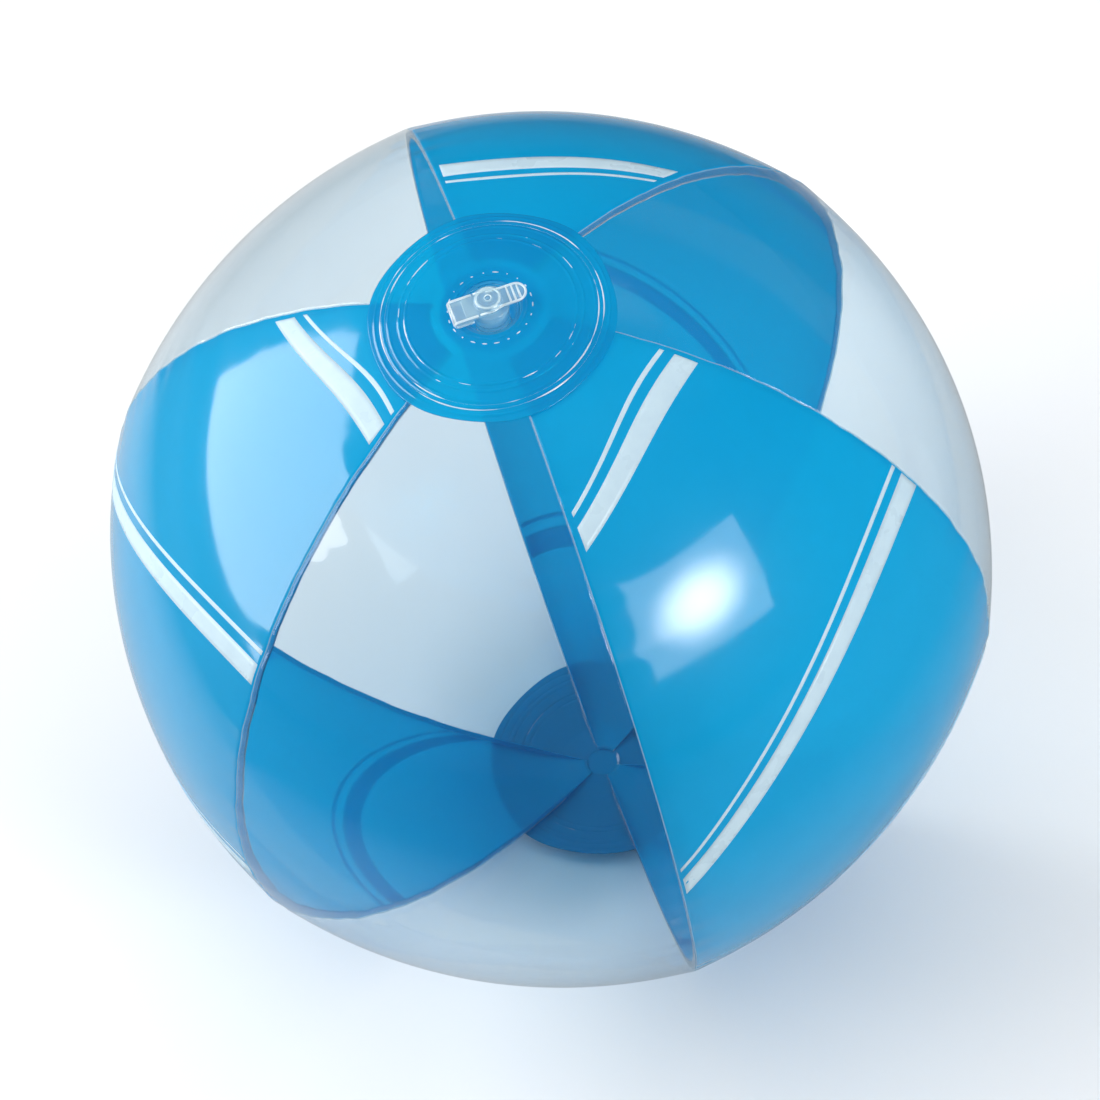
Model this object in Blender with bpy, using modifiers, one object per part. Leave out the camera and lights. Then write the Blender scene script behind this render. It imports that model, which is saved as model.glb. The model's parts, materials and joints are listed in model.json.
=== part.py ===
"""Inflatable beach ball: six welded film panels, two end caps and a push-in valve.

Metres, +Z up. The ball rests on a small flat contact patch, whose centre is the
origin, with the valve at the top on the +Z axis. The valve's pull tab points along +X
and the strap of its plug folds on the -X side. Seams stand at -90 degrees and every
60 degrees from there, and coloured and clear panels take turns.
"""
import math

import bmesh
import bpy

# Envelope
BALL_RADIUS = 0.140          # mean radius of the panels' outer face
SEAM_RISE = 0.021            # how much further out a seam lies than a panel's middle
CONTACT_RADIUS = 0.015       # flat patch that the ball rests on
PANEL_COUNT = 6
FILM = 0.0002                # wall of a panel
SEAM_ALLOWANCE = 0.0025      # width of film turned inward along a seam
TIP_CLEARANCE = 0.0032       # from the flange's rim to the panels' blunt tips
GAP = 0.0003                 # clearance between touching pieces

# End caps
CAP_RADIUS = 0.0375
CAP_FILM = 0.0003
CAP_HOLE_LIP = 0.0008        # how far the flange shows inside the cap's hole

# Valve: heights are measured from the top cap's outer face at the pole
FLANGE_RADIUS = 0.0153
FLANGE_INNER_RADIUS = 0.0090
FLANGE_THICKNESS = 0.0008
SKIRT_WALL = 0.0005
STEM_RIM_HEIGHT = 0.0020
STEM_LENGTH = 0.0120
STEM_BORE_RADIUS = 0.0033
STEM_WALL = 0.0019
COLLAR_LIP = 0.0010          # how far the collar stands out from the stem
COLLAR_DEPTH = 0.0022
PLUG_HEAD_LIP = 0.0010       # how far the plug's head laps over the bore's edge
PLUG_HEAD_HEIGHT = 0.0026
PLUG_NOSE_LENGTH = 0.0050
PLUG_DIMPLE_RADIUS = 0.0013
PLUG_DIMPLE_DEPTH = 0.0006
TAB_LENGTH = 0.0077          # from the head's side to the end of the pull tab
TAB_WIDTH = 0.0071
TAB_THICKNESS = 0.0012
TAB_RIDGES = 3
RIDGE_RADIUS = 0.0004
RIDGE_PITCH = 0.0014
RIDGE_SHARE = 0.6            # ridge length as a share of the tab's width
STRAP_WIDTH = 0.0090
STRAP_THICKNESS = 0.0009
STRAP_LEG = 0.0058           # from the collar to the outside of the fold
FOLD_GAP = 0.0010            # open space inside the strap's fold
FLAP_LAP = 0.0012            # how far the check flap covers the stem's foot
FLAP_THICKNESS = 0.0005

# Mesh fineness
PANEL_COLUMNS = 10
PANEL_ROWS = 28
CAP_RINGS = 5
ROUND_STEPS = 60
VALVE_STEPS = 32
MERGE = 0.00001

# Worked out from the sizes above
STEM_RADIUS = STEM_BORE_RADIUS + STEM_WALL
COLLAR_RADIUS = STEM_RADIUS + COLLAR_LIP
PLUG_HEAD_RADIUS = STEM_BORE_RADIUS + PLUG_HEAD_LIP
FLAP_RADIUS = STEM_BORE_RADIUS + FLAP_LAP
CAP_HOLE_RADIUS = FLANGE_INNER_RADIUS + CAP_HOLE_LIP
TIP_RADIUS = FLANGE_RADIUS + TIP_CLEARANCE
TAB_END = PLUG_HEAD_RADIUS + TAB_LENGTH
HALF_PANEL = math.pi / PANEL_COUNT
TIP_LATITUDE = math.acos(TIP_RADIUS / BALL_RADIUS)
CAP_LATITUDE = math.acos(CAP_RADIUS / BALL_RADIUS)


def panel_radius(across, latitude):
    """Distance from the ball's centre to a panel's outer face; across is -1 to 1."""
    bow = SEAM_RISE * (across * across - 1 / 3) * math.cos(latitude) ** 2
    return BALL_RADIUS * (1 + bow)


CAP_INNER = panel_radius(1, CAP_LATITUDE) + GAP
CAP_OUTER = CAP_INNER + CAP_FILM
CENTRE_Z = math.sqrt(CAP_OUTER ** 2 - CONTACT_RADIUS ** 2)
DECK_Z = CENTRE_Z + CAP_OUTER                      # cap's outer face at the pole
RIM_Z = DECK_Z + STEM_RIM_HEIGHT
STEM_FOOT_Z = RIM_Z - STEM_LENGTH
UPPER_LEG_Z = RIM_Z + GAP + STRAP_THICKNESS / 2    # middle of the strap's upper leg
FOLD_RADIUS = (FOLD_GAP + STRAP_THICKNESS) / 2     # to the middle of the strap
FOLD_X = -(COLLAR_RADIUS + STRAP_LEG - FOLD_RADIUS - STRAP_THICKNESS / 2)
FOLD_Z = UPPER_LEG_Z - FOLD_RADIUS                 # height of the plug's swing axis
STRAP_SPLIT_X = FOLD_X + STRAP_LEG / 2             # where the strap ends on the plug
FLAP_TOP_Z = STEM_FOOT_Z - GAP
FLAP_HINGE_X = -FLAP_RADIUS


def clear_scene():
    for old in list(bpy.data.objects):
        bpy.data.objects.remove(old, do_unlink=True)


def new_collection(name):
    group = bpy.data.collections.new(name)
    bpy.context.scene.collection.children.link(group)
    return group


def film_material(name, colour, roughness, alpha):
    material = bpy.data.materials.new(name)
    material.use_nodes = True
    shader = material.node_tree.nodes["Principled BSDF"]
    shader.inputs["Base Color"].default_value = (*colour, 1)
    shader.inputs["Roughness"].default_value = roughness
    shader.inputs["Metallic"].default_value = 0
    shader.inputs["Alpha"].default_value = alpha
    material.diffuse_color = (*colour, alpha)
    return material


def add_piece(name, mesh, material, group=None):
    """Link a mesh as a named piece, shaded smooth with sharp corners kept."""
    mesh.shade_smooth()
    mesh.set_sharp_from_angle(angle=math.radians(35))
    piece = bpy.data.objects.new(name, mesh)
    (group or parts).objects.link(piece)
    if material:
        piece.data.materials.append(material)
    return piece


def bent_sheet(name, columns, rows, place, wall, offset, material):
    """A flat grid bent through place(u, v), both -1 to 1, and given a wall."""
    mesh = bpy.data.meshes.new(name)
    form = bmesh.new()
    bmesh.ops.create_grid(form, x_segments=columns, y_segments=rows, size=1)
    for point in form.verts:
        point.co = place(point.co.x, point.co.y)
    form.to_mesh(mesh)
    form.free()
    piece = add_piece(name, mesh, material)
    shell = piece.modifiers.new("wall", "SOLIDIFY")
    shell.thickness = wall
    shell.offset = offset
    shell.use_even_offset = True
    return piece


def turned(name, profile, closed, steps, material, group=None):
    """A profile of (radius, height) points turned about the Z axis."""
    mesh = bpy.data.meshes.new(name)
    points = [(radius, 0, height) for radius, height in profile]
    edges = [(i, i + 1) for i in range(len(points) - 1)]
    if closed:
        edges.append((len(points) - 1, 0))
    mesh.from_pydata(points, edges, [])
    piece = add_piece(name, mesh, material, group)
    screw = piece.modifiers.new("turn", "SCREW")
    screw.steps = steps
    screw.render_steps = steps
    screw.use_merge_vertices = True
    screw.merge_threshold = MERGE
    screw.use_smooth_shade = True
    return piece


def join_solid(piece, tool):
    union = piece.modifiers.new("join " + tool.name, "BOOLEAN")
    union.operation = "UNION"
    union.solver = "EXACT"
    union.object = tool


def hide_tool(tool):
    tool.hide_render = True
    tool.display_type = "WIRE"


def box_tool(name, low, high):
    """A block between two corners, kept as a tool."""
    mesh = bpy.data.meshes.new(name)
    form = bmesh.new()
    bmesh.ops.create_cube(form, size=1)
    for point in form.verts:
        for axis in range(3):
            point.co[axis] = low[axis] if point.co[axis] < 0 else high[axis]
    form.to_mesh(mesh)
    form.free()
    tool = add_piece(name, mesh, None, tools)
    hide_tool(tool)
    return tool


def round_tool(name, radius, depth, segments):
    """A round bar about Z, centred on the origin, kept as a tool."""
    mesh = bpy.data.meshes.new(name)
    form = bmesh.new()
    bmesh.ops.create_cone(form, cap_ends=True, segments=segments,
                          radius1=radius, radius2=radius, depth=depth)
    form.to_mesh(mesh)
    form.free()
    tool = add_piece(name, mesh, None, tools)
    hide_tool(tool)
    return tool


def sphere_height(radius, shell):
    """Height above the ball's centre of a sphere of radius shell."""
    return math.sqrt(shell ** 2 - radius ** 2)


def stepped(start, end, count):
    return [start + (end - start) * i / count for i in range(count + 1)]


def make_panel(name, number, material):
    """One gore: bowed film from pole to pole, its edges turned in for the weld."""
    middle = -math.pi / 2 + (2 * number + 1) * HALF_PANEL
    flat = PANEL_COLUMNS / (PANEL_COLUMNS + 2)

    def place(u, v):
        latitude = TIP_LATITUDE * (0.4 * v + 0.6 * math.sin(v * math.pi / 2))
        across = max(-1, min(1, u / flat))
        radius = panel_radius(across, latitude)
        if abs(u) > flat + MERGE:
            radius -= SEAM_ALLOWANCE
        out = radius * math.cos(latitude)
        edge = HALF_PANEL - math.asin(GAP / 2 / out)
        azimuth = middle + across * edge
        height = CENTRE_Z + radius * math.sin(latitude)
        return (out * math.cos(azimuth), out * math.sin(azimuth), height)

    return bent_sheet(name, PANEL_COLUMNS + 2, PANEL_ROWS, place, FILM, -1, material)


def make_top_cap(material):
    """Round patch over the panels' upper ends, with a hole for the valve."""
    outer = [(r, CENTRE_Z + sphere_height(r, CAP_OUTER))
             for r in stepped(CAP_HOLE_RADIUS, CAP_RADIUS, CAP_RINGS)]
    inner = [(r, CENTRE_Z + sphere_height(r, CAP_INNER))
             for r in stepped(CAP_RADIUS, CAP_HOLE_RADIUS, CAP_RINGS)]
    return turned("top_cap", outer + inner, True, ROUND_STEPS, material)


def make_bottom_cap(material):
    """Round patch over the lower ends, pressed flat where the ball stands."""
    rings = stepped(CONTACT_RADIUS, CAP_RADIUS, CAP_RINGS)
    inner_flat = CENTRE_Z - sphere_height(CONTACT_RADIUS, CAP_INNER)
    inner = [(0, inner_flat)]
    inner += [(r, CENTRE_Z - sphere_height(r, CAP_INNER)) for r in rings]
    outer = [(r, CENTRE_Z - sphere_height(r, CAP_OUTER)) for r in reversed(rings)]
    return turned("bottom_cap", inner + outer + [(0, 0)], False, ROUND_STEPS, material)


def make_flange(material):
    """Ring of the valve, welded under the top cap."""
    face = CAP_INNER - GAP
    back = face - FLANGE_THICKNESS
    rings = stepped(FLANGE_INNER_RADIUS, FLANGE_RADIUS, 2)
    outer = [(r, CENTRE_Z + sphere_height(r, face)) for r in rings]
    inner = [(r, CENTRE_Z + sphere_height(r, back)) for r in reversed(rings)]
    return turned("valve_flange", outer + inner, True, ROUND_STEPS, material)


def make_skirt(material):
    """Thin membrane from the flange down to the stem's foot, folded in at rest."""
    top_radius = FLANGE_INNER_RADIUS - GAP
    top_z = CENTRE_Z + sphere_height(FLANGE_INNER_RADIUS, CAP_INNER - GAP) - SKIRT_WALL
    foot_radius = STEM_RADIUS + GAP + SKIRT_WALL
    foot_z = STEM_FOOT_Z + SKIRT_WALL
    line = []
    for share in stepped(0, 1, 6):
        radius = foot_radius + (top_radius - foot_radius) * (1 - share ** 2) ** 0.5
        line.append((radius, top_z + (foot_z - top_z) * share))
    inside = [(radius - SKIRT_WALL, height) for radius, height in reversed(line)]
    return turned("valve_skirt", line + inside, True, VALVE_STEPS, material)


def make_stem(material):
    """Tube that is blown through, with a collar that the plug's strap grows from."""
    collar_foot = RIM_Z - COLLAR_DEPTH
    profile = [
        (STEM_BORE_RADIUS, RIM_Z),
        (COLLAR_RADIUS, RIM_Z),
        (COLLAR_RADIUS, collar_foot),
        (STEM_RADIUS, collar_foot),
        (STEM_RADIUS, STEM_FOOT_Z),
        (STEM_BORE_RADIUS, STEM_FOOT_Z),
    ]
    return turned("valve_stem", profile, True, VALVE_STEPS, material)


def nose_radius(depth):
    """Largest radius at a depth below the fold that swings out past the rim."""
    reach = -FOLD_X + STEM_BORE_RADIUS - GAP
    return math.sqrt(reach ** 2 - depth ** 2) + FOLD_X


def make_plug(material):
    """Stopper with a round head, tapered nose, pull tab and the strap's root."""
    head_foot = RIM_Z + GAP
    head_top = head_foot + PLUG_HEAD_HEIGHT
    edge = PLUG_HEAD_HEIGHT / 4
    profile = [
        (0, head_top - PLUG_DIMPLE_DEPTH),
        (PLUG_DIMPLE_RADIUS, head_top),
        (PLUG_HEAD_RADIUS - edge, head_top),
        (PLUG_HEAD_RADIUS, head_top - edge),
        (PLUG_HEAD_RADIUS, head_foot),
    ]
    for height in stepped(head_foot, head_foot - PLUG_NOSE_LENGTH, 3):
        profile.append((nose_radius(FOLD_Z - height), height))
    profile.append((0, profile[-1][1]))
    plug = turned("valve_plug", profile, False, VALVE_STEPS, material)

    tab_low = head_foot
    tab_high = tab_low + TAB_THICKNESS
    tab = round_tool("tab_outline", TAB_WIDTH / 2, TAB_THICKNESS, VALVE_STEPS)
    for point in tab.data.vertices:
        end = TAB_END - TAB_WIDTH / 2 if point.co.x > 0 else TAB_WIDTH / 2
        point.co.x += end
        point.co.z += (tab_low + tab_high) / 2
    join_solid(plug, tab)

    for ridge in range(TAB_RIDGES):
        bar = round_tool(f"grip_ridge_{ridge + 1}", RIDGE_RADIUS,
                         TAB_WIDTH * RIDGE_SHARE, 8)
        bar.rotation_euler = (math.pi / 2, 0, 0)
        bar.location = (TAB_END - (ridge + 1) * RIDGE_PITCH - RIDGE_RADIUS, 0, tab_high)
        join_solid(plug, bar)

    root = box_tool("strap_root", (STRAP_SPLIT_X + GAP, -STRAP_WIDTH / 2, head_foot),
                    (-PLUG_HEAD_LIP, STRAP_WIDTH / 2, head_foot + STRAP_THICKNESS))
    join_solid(plug, root)
    return plug


def make_strap(material):
    """Band folded double that ties the plug to the stem's collar."""
    bend = math.pi * FOLD_RADIUS
    upper = STRAP_SPLIT_X - FOLD_X
    lower = -COLLAR_RADIUS - GAP - FOLD_X
    whole = upper + bend + lower

    def place(u, v):
        along = (u + 1) / 2 * whole
        side = -v * STRAP_WIDTH / 2
        if along <= upper:
            return (STRAP_SPLIT_X - along, side, FOLD_Z + FOLD_RADIUS)
        if along >= upper + bend:
            return (FOLD_X + along - upper - bend, side, FOLD_Z - FOLD_RADIUS)
        turn = (along - upper) / FOLD_RADIUS
        return (FOLD_X - FOLD_RADIUS * math.sin(turn), side,
                FOLD_Z + FOLD_RADIUS * math.cos(turn))

    return bent_sheet("plug_strap", 24, 2, place, STRAP_THICKNESS, 0, material)


def make_flap(material):
    """Check flap that closes the stem's foot from inside; it drops to let air in."""
    low_z = FLAP_TOP_Z - FLAP_THICKNESS
    profile = [(0, FLAP_TOP_Z), (FLAP_RADIUS, FLAP_TOP_Z), (FLAP_RADIUS, low_z), (0, low_z)]
    return turned("check_flap", profile, False, VALVE_STEPS, material)


def hang_on_pivot(piece, name, place):
    """Parent a piece to an empty on its joint axis without moving it."""
    pivot = bpy.data.objects.new(name, None)
    parts.objects.link(pivot)
    pivot.location = place
    piece.parent = pivot
    piece.location = [-value for value in place]


clear_scene()
parts = new_collection("beach_ball")
tools = new_collection("tools")

blue_film = film_material("blue_film", (0.0, 0.36, 0.72), 0.12, 0.55)
clear_film = film_material("clear_film", (0.82, 0.87, 0.90), 0.10, 0.30)
cap_film = film_material("cap_film", (0.02, 0.42, 0.80), 0.15, 0.75)
clear_vinyl = film_material("clear_vinyl", (0.85, 0.90, 0.93), 0.20, 0.60)

for index in range(PANEL_COUNT):
    pair = index // 2 + 1
    if index % 2 == 0:
        make_panel(f"blue_panel_{pair}", index, blue_film)
    else:
        make_panel(f"clear_panel_{pair}", index, clear_film)

make_top_cap(cap_film)
make_bottom_cap(cap_film)
make_flange(clear_vinyl)
make_skirt(clear_vinyl)
make_stem(clear_vinyl)
make_strap(clear_vinyl)
hang_on_pivot(make_plug(clear_vinyl), "plug_pivot", (FOLD_X, 0, FOLD_Z))
hang_on_pivot(make_flap(clear_vinyl), "flap_pivot", (FLAP_HINGE_X, 0, FLAP_TOP_Z))
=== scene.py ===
import json
import math

import bmesh
import bpy
from mathutils import Matrix, Vector


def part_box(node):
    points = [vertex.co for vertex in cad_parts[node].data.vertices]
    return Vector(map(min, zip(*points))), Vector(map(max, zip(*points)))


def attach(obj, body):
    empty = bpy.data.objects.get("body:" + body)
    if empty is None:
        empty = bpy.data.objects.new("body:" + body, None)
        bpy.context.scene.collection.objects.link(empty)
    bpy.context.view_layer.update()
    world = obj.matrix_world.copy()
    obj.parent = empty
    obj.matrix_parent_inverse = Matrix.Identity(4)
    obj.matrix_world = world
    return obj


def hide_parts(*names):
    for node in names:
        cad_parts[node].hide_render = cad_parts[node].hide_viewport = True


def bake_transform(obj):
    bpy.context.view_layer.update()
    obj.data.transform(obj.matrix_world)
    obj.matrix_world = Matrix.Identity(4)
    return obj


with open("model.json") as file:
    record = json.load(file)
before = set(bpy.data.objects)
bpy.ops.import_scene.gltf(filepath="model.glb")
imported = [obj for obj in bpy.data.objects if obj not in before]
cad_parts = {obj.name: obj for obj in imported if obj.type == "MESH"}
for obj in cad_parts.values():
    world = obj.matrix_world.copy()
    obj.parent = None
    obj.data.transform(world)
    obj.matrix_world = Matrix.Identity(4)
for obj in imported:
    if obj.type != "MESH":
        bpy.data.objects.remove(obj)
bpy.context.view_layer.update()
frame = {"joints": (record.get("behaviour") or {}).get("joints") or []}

# sizes read from the frame
panelNames = [f"{kind}_panel_{n}" for kind in ("blue", "clear") for n in (1, 2, 3)]
panelBoxes = [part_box(name) for name in panelNames]
panelLow = [min(box[0][axis] for box in panelBoxes) for axis in range(3)]
panelHigh = [max(box[1][axis] for box in panelBoxes) for axis in range(3)]
capLow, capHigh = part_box("top_cap")
stemLow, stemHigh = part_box("valve_stem")
plugLow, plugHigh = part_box("valve_plug")
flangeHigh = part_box("valve_flange")[1]
skirtLow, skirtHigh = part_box("valve_skirt")
flapLow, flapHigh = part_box("check_flap")
joints = {joint["name"]: joint for joint in frame["joints"]}

ball = {
    "seamRise": 0.021,      # seams lie this much further out than panel middles
    "panelCount": 6,
    "firstSeam": -math.pi / 2,
    "puckerDepth": 0.0011,  # small dents where the weld gathers the film
    "puckerWidth": 0.0060,
    "puckerPitch": 0.0110,
    "swellDepth": 0.0005,   # slow unevenness of the blown film
    "swellPitch": 0.090,
}
ball["radius"] = (panelHigh[1] - panelLow[1]) / 2 / (1 + ball["seamRise"] * 2 / 3)
ball["centreZ"] = (panelHigh[2] + panelLow[2]) / 2
panelAngle = 2 * math.pi / ball["panelCount"]
tipSine = (panelHigh[2] - panelLow[2]) / 2 / ball["radius"]
print("frame read, ball radius", round(ball["radius"], 4))


# small helpers

class Field:
    # a number that runs through a node tree; + - * / make the Math nodes
    def __init__(self, group, socket):
        self.group, self.socket = group, socket

    def math(self, operation, *values):
        node = self.group.nodes.new("ShaderNodeMath")
        node.operation = operation
        for place, value in zip(node.inputs, (self,) + values):
            if isinstance(value, Field):
                self.group.links.new(value.socket, place)
            else:
                place.default_value = value
        return Field(self.group, node.outputs[0])

    def __add__(self, other):
        return self.math("ADD", other)

    def __sub__(self, other):
        return self.math("SUBTRACT", other)

    def __mul__(self, other):
        return self.math("MULTIPLY", other)

    def __truediv__(self, other):
        return self.math("DIVIDE", other)

    def __rsub__(self, other):
        return self * -1 + other

    __radd__ = __add__
    __rmul__ = __mul__

    def sin(self):
        return self.math("SINE")

    def cos(self):
        return self.math("COSINE")

    def between(self, low, high):
        # 0 at low, 1 at high, held outside
        node = self.group.nodes.new("ShaderNodeMapRange")
        self.group.links.new(self.socket, node.inputs["Value"])
        node.inputs["From Min"].default_value = low
        node.inputs["From Max"].default_value = high
        return Field(self.group, node.outputs["Result"])


def vectorOf(group, x, y, z):
    node = group.nodes.new("ShaderNodeCombineXYZ")
    for place, value in zip(node.inputs, (x, y, z)):
        if isinstance(value, Field):
            group.links.new(value.socket, place)
        else:
            place.default_value = value
    return node.outputs[0]


def noiseOf(group, vector, pitch, detail=1.0):
    # smooth noise from -1 to 1 with bumps about one pitch apart
    node = group.nodes.new("ShaderNodeTexNoise")
    group.links.new(vector, node.inputs["Vector"])
    node.inputs["Scale"].default_value = 1 / pitch
    node.inputs["Detail"].default_value = detail
    return (Field(group, node.outputs[0]) - 0.5) * 2


def startTree(name, sizes):
    # a Geometry Nodes tree with one named input for each size
    group = bpy.data.node_groups.new(name, "GeometryNodeTree")
    face = group.interface
    face.new_socket("Geometry", in_out="INPUT", socket_type="NodeSocketGeometry")
    face.new_socket("Material", in_out="INPUT", socket_type="NodeSocketMaterial")
    face.new_socket("Geometry", in_out="OUTPUT", socket_type="NodeSocketGeometry")
    for label, value in sizes.items():
        kind = "NodeSocketInt" if isinstance(value, int) else "NodeSocketFloat"
        face.new_socket(label, in_out="INPUT", socket_type=kind).default_value = value
    entry = group.nodes.new("NodeGroupInput")
    fields = {label: Field(group, entry.outputs[label]) for label in sizes}
    return group, entry, fields


def endTree(group, entry, geometry):
    realize = group.nodes.new("GeometryNodeRealizeInstances")
    paint = group.nodes.new("GeometryNodeSetMaterial")
    done = group.nodes.new("NodeGroupOutput")
    group.links.new(geometry, realize.inputs[0])
    group.links.new(realize.outputs[0], paint.inputs["Geometry"])
    group.links.new(entry.outputs["Material"], paint.inputs["Material"])
    group.links.new(paint.outputs[0], done.inputs["Geometry"])


def runTree(name, group, material, sizes, modifiers=()):
    # evaluates a tree with its own sizes, then the listed modifiers, into a plain mesh
    holder = bpy.data.objects.new(name, bpy.data.meshes.new(name))
    bpy.context.scene.collection.objects.link(holder)
    modifier = holder.modifiers.new("tree", "NODES")
    modifier.node_group = group
    for item in group.interface.items_tree:
        if item.in_out == "INPUT" and item.name in sizes:
            modifier[item.identifier] = sizes[item.name]
        if item.in_out == "INPUT" and item.name == "Material":
            modifier[item.identifier] = material
    for kind, settings in modifiers:
        extra = holder.modifiers.new(kind.lower(), kind)
        for label, value in settings.items():
            setattr(extra, label, value)
    return bakeDown(holder, material)


def bakeDown(holder, material):
    # replaces an object's modifiers by their result
    bpy.context.view_layer.update()
    graph = bpy.context.evaluated_depsgraph_get()
    result = bpy.data.meshes.new_from_object(holder.evaluated_get(graph))
    result.name = holder.name
    holder.modifiers.clear()
    holder.data = result
    result.materials.clear()
    result.materials.append(material)
    result.shade_smooth()
    return holder


def gridOf(group, columns, rows):
    # a mesh grid whose place gives u and v, both from -1 to 1
    grid = group.nodes.new("GeometryNodeMeshGrid")
    grid.inputs["Size X"].default_value = 2
    grid.inputs["Size Y"].default_value = 2
    grid.inputs["Vertices X"].default_value = columns + 1
    grid.inputs["Vertices Y"].default_value = rows + 1
    place = group.nodes.new("GeometryNodeInputPosition")
    split = group.nodes.new("ShaderNodeSeparateXYZ")
    group.links.new(place.outputs[0], split.inputs[0])
    return grid.outputs["Mesh"], Field(group, split.outputs[0]), Field(group, split.outputs[1])


def setPlace(group, geometry, vector):
    node = group.nodes.new("GeometryNodeSetPosition")
    group.links.new(geometry, node.inputs["Geometry"])
    group.links.new(vector, node.inputs["Position"])
    return node.outputs[0]


def keepAbove(group, point, floor):
    split = group.nodes.new("ShaderNodeSeparateXYZ")
    group.links.new(point, split.inputs[0])
    x, y, z = (Field(group, split.outputs[axis]) for axis in range(3))
    return vectorOf(group, x, y, z.math("MAXIMUM", floor))


def mergeClose(group, geometry, distance):
    node = group.nodes.new("GeometryNodeMergeByDistance")
    group.links.new(geometry, node.inputs["Geometry"])
    node.inputs["Distance"].default_value = distance
    return node.outputs[0]


def solidify(wall, offset=-1.0):
    return ("SOLIDIFY", {"thickness": wall, "offset": offset, "use_even_offset": True})


# the ball's skin: one formula that every film piece follows

def makeSkin():
    group = bpy.data.node_groups.new("ballSkin", "GeometryNodeTree")
    for label in ("Azimuth", "Latitude", "Lift"):
        group.interface.new_socket(label, in_out="INPUT", socket_type="NodeSocketFloat")
    group.interface.new_socket("Point", in_out="OUTPUT", socket_type="NodeSocketVector")
    entry = group.nodes.new("NodeGroupInput")
    azimuth = Field(group, entry.outputs["Azimuth"])
    latitude = Field(group, entry.outputs["Latitude"])
    lift = Field(group, entry.outputs["Lift"])
    turns = (azimuth - ball["firstSeam"]) / panelAngle
    seam = turns.math("ROUND") * panelAngle + ball["firstSeam"]
    across = 1 - (turns - turns.math("ROUND")).math("ABSOLUTE") * 2
    flat = latitude.cos()
    bow = (across * across - 1 / 3) * flat * flat * ball["seamRise"]
    seamPoint = vectorOf(group, seam.cos() * flat, seam.sin() * flat, latitude.sin())
    away = (azimuth - seam).math("ABSOLUTE") * flat * ball["radius"]
    fade = (away * (-1 / ball["puckerWidth"])).math("EXPONENT")
    radius = ball["radius"]
    pucker = noiseOf(group, seamPoint, ball["puckerPitch"] / radius, 2) * fade
    here = vectorOf(group, azimuth.cos() * flat, azimuth.sin() * flat, latitude.sin())
    swell = noiseOf(group, here, ball["swellPitch"] / radius, 0)
    calm = flat.between(0.12, 0.45)
    distance = (bow * radius + pucker * calm * ball["puckerDepth"]
                + swell * calm * ball["swellDepth"] + lift + radius)
    point = vectorOf(group, distance * flat * azimuth.cos(), distance * flat * azimuth.sin(),
                     distance * latitude.sin() + ball["centreZ"])
    group.links.new(point, group.nodes.new("NodeGroupOutput").inputs["Point"])
    return group


skinGroup = makeSkin()


def onSkin(group, azimuth, latitude, lift):
    node = group.nodes.new("GeometryNodeGroup")
    node.node_tree = skinGroup
    for place, value in zip(node.inputs, (azimuth, latitude, lift)):
        if isinstance(value, Field):
            group.links.new(value.socket, place)
        else:
            place.default_value = value
    return node.outputs[0]


# materials

def startMaterial(name):
    material = bpy.data.materials.new(name)
    material.use_nodes = True
    nodes = material.node_tree.nodes
    nodes.clear()
    return material, material.node_tree, nodes


def setSockets(node, values):
    for label, value in values.items():
        node.inputs[label].default_value = value
    return node


def objectNoise(tree, scale, detail, stretch=(1, 1, 1)):
    # noise on the object's own coordinates, stretched along one way if asked
    place = tree.nodes.new("ShaderNodeTexCoord")
    mapping = tree.nodes.new("ShaderNodeMapping")
    mapping.inputs["Scale"].default_value = stretch
    noise = tree.nodes.new("ShaderNodeTexNoise")
    setSockets(noise, {"Scale": scale, "Detail": detail, "Roughness": 0.6})
    tree.links.new(place.outputs["Object"], mapping.inputs[0])
    tree.links.new(mapping.outputs[0], noise.inputs["Vector"])
    return noise.outputs["Fac"]


def spread(tree, value, fromLow, fromHigh, toLow, toHigh):
    node = tree.nodes.new("ShaderNodeMapRange")
    tree.links.new(value, node.inputs["Value"])
    setSockets(node, {"From Min": fromLow, "From Max": fromHigh, "To Min": toLow, "To Max": toHigh})
    return node.outputs["Result"]


def productOf(tree, first, second):
    node = tree.nodes.new("ShaderNodeMath")
    node.operation = "MULTIPLY"
    tree.links.new(first, node.inputs[0])
    tree.links.new(second, node.inputs[1])
    return node.outputs[0]


def mixShaders(tree, factor, first, second):
    node = tree.nodes.new("ShaderNodeMixShader")
    if isinstance(factor, float):
        node.inputs[0].default_value = factor
    else:
        tree.links.new(factor, node.inputs[0])
    tree.links.new(first, node.inputs[1])
    tree.links.new(second, node.inputs[2])
    return node.outputs[0]


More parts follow.
